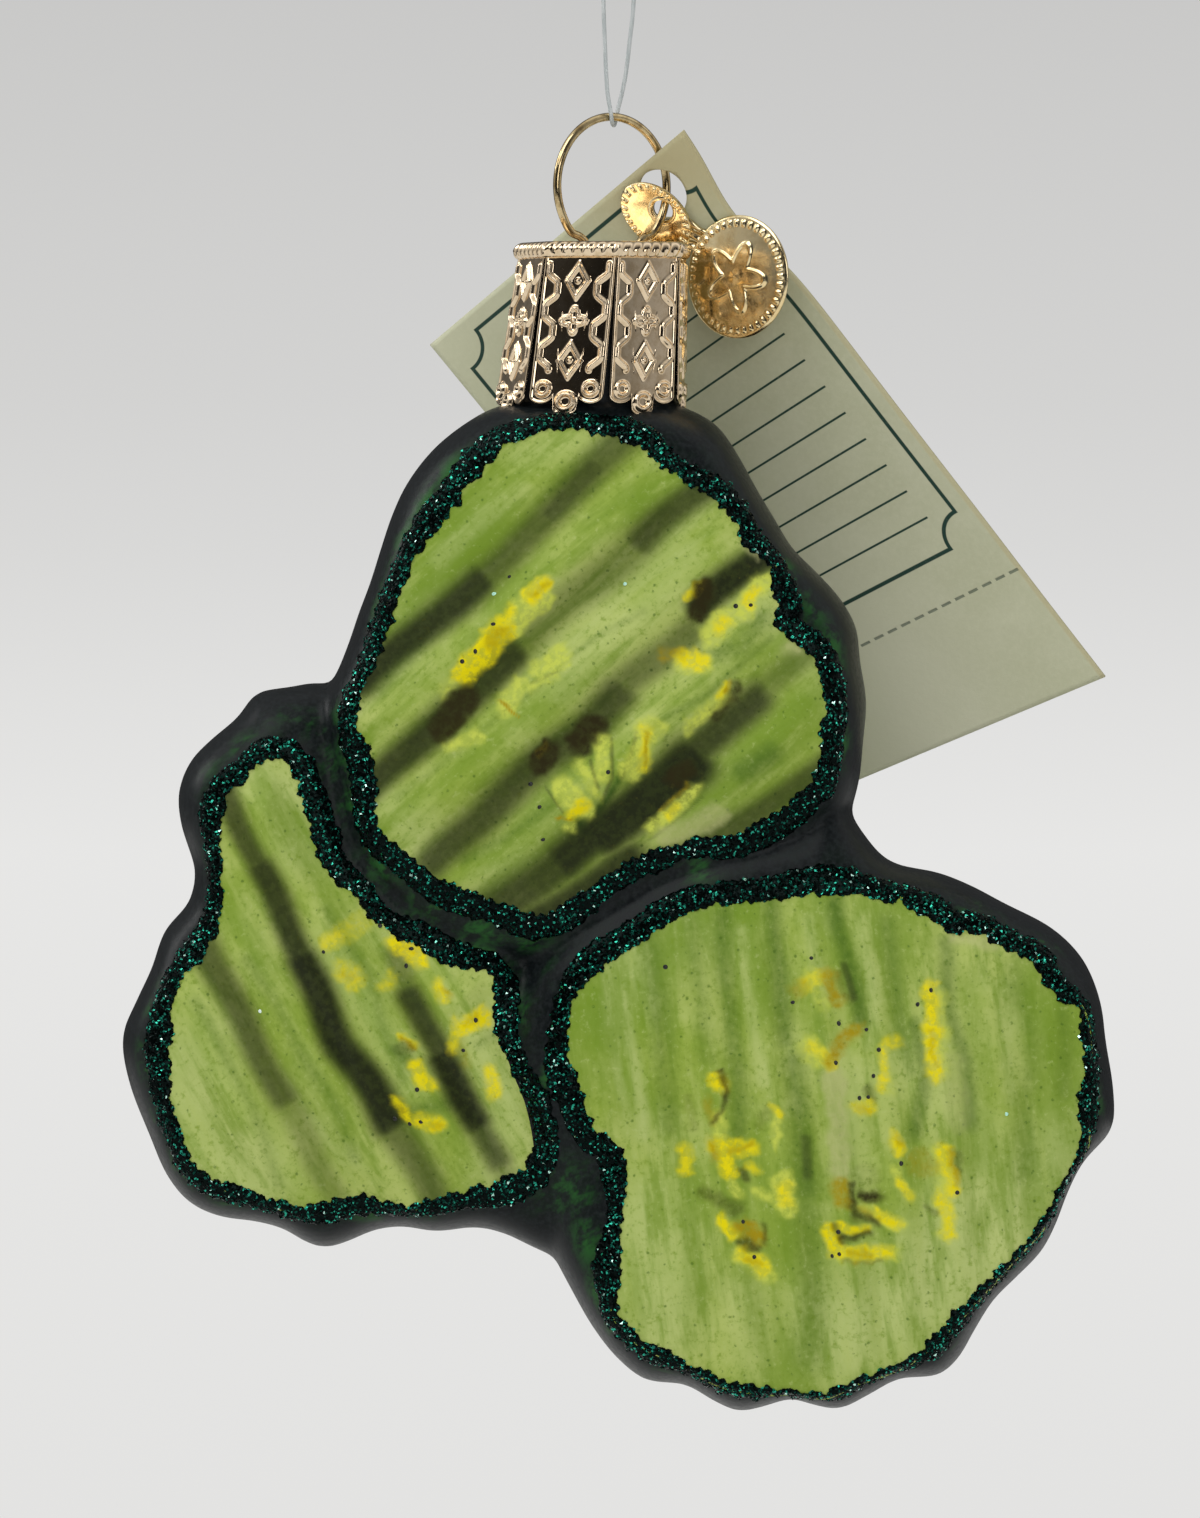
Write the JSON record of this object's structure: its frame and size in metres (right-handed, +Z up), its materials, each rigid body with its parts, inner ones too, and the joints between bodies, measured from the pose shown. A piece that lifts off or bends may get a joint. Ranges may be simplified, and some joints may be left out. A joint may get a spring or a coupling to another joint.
{
  "type": "hanging glass ornament",
  "caption": "Blown glass ornament of crinkle cut pickle slices with glittered rims, pressed metal cap, wire hanger, stamped charm, paper tag and thread loop.",
  "frame": {"origin": "the seat under the top of the hanger ring, where a hook or thread carries the ornament", "axes": "+Z up along the hanging line, -Y towards the painted front that the picture shows, +X to its right"},
  "size_m": [0.071, 0.0279, 0.1106],
  "materials": {
    "slice_glass": "lacquered, satin faces and gloss rims",
    "rim_glitter": "glitter in glue",
    "cap_metal": "pressed, polished, champagne plated",
    "ring_metal": "polished antique gold wire",
    "charm_metal": "stamped, polished",
    "tag_card": "uncoated card",
    "thread_nylon": "clear monofilament"
  },
  "bodies": {
    "hanger": {"hanger_wire": "ring_metal", "hang_thread": "thread_nylon", "thread_knot": "thread_nylon"},
    "ornament": {"glass_body": "slice_glass", "crown_cap": "cap_metal", "top_front_glitter": "rim_glitter", "left_front_glitter": "rim_glitter", "right_front_glitter": "rim_glitter", "top_back_glitter": "rim_glitter", "left_back_glitter": "rim_glitter", "right_back_glitter": "rim_glitter"},
    "charm": {"charm": "charm_metal"},
    "tag": {"hang_tag": "tag_card"}
  },
  "joints": [
    {"name": "ornament_tilt", "type": "hinge", "parent": "hanger", "child": "ornament", "pos_m": [0, 0, -0.0088], "axis": [0.788, 0.6157, 0], "range_deg": [-4, 4]},
    {"name": "charm_swing", "type": "hinge", "parent": "hanger", "child": "charm", "pos_m": [0.00373, 0.00292, -0.0063], "axis": [-0.4147, -0.814, -0.4067], "range_deg": [-24, 75]},
    {"name": "tag_swing", "type": "hinge", "parent": "hanger", "child": "tag", "pos_m": [0.00385, 0.00338, -0.00566], "axis": [-0.4278, -0.8181, -0.3843], "range_deg": [-45, 12]}
  ]
}
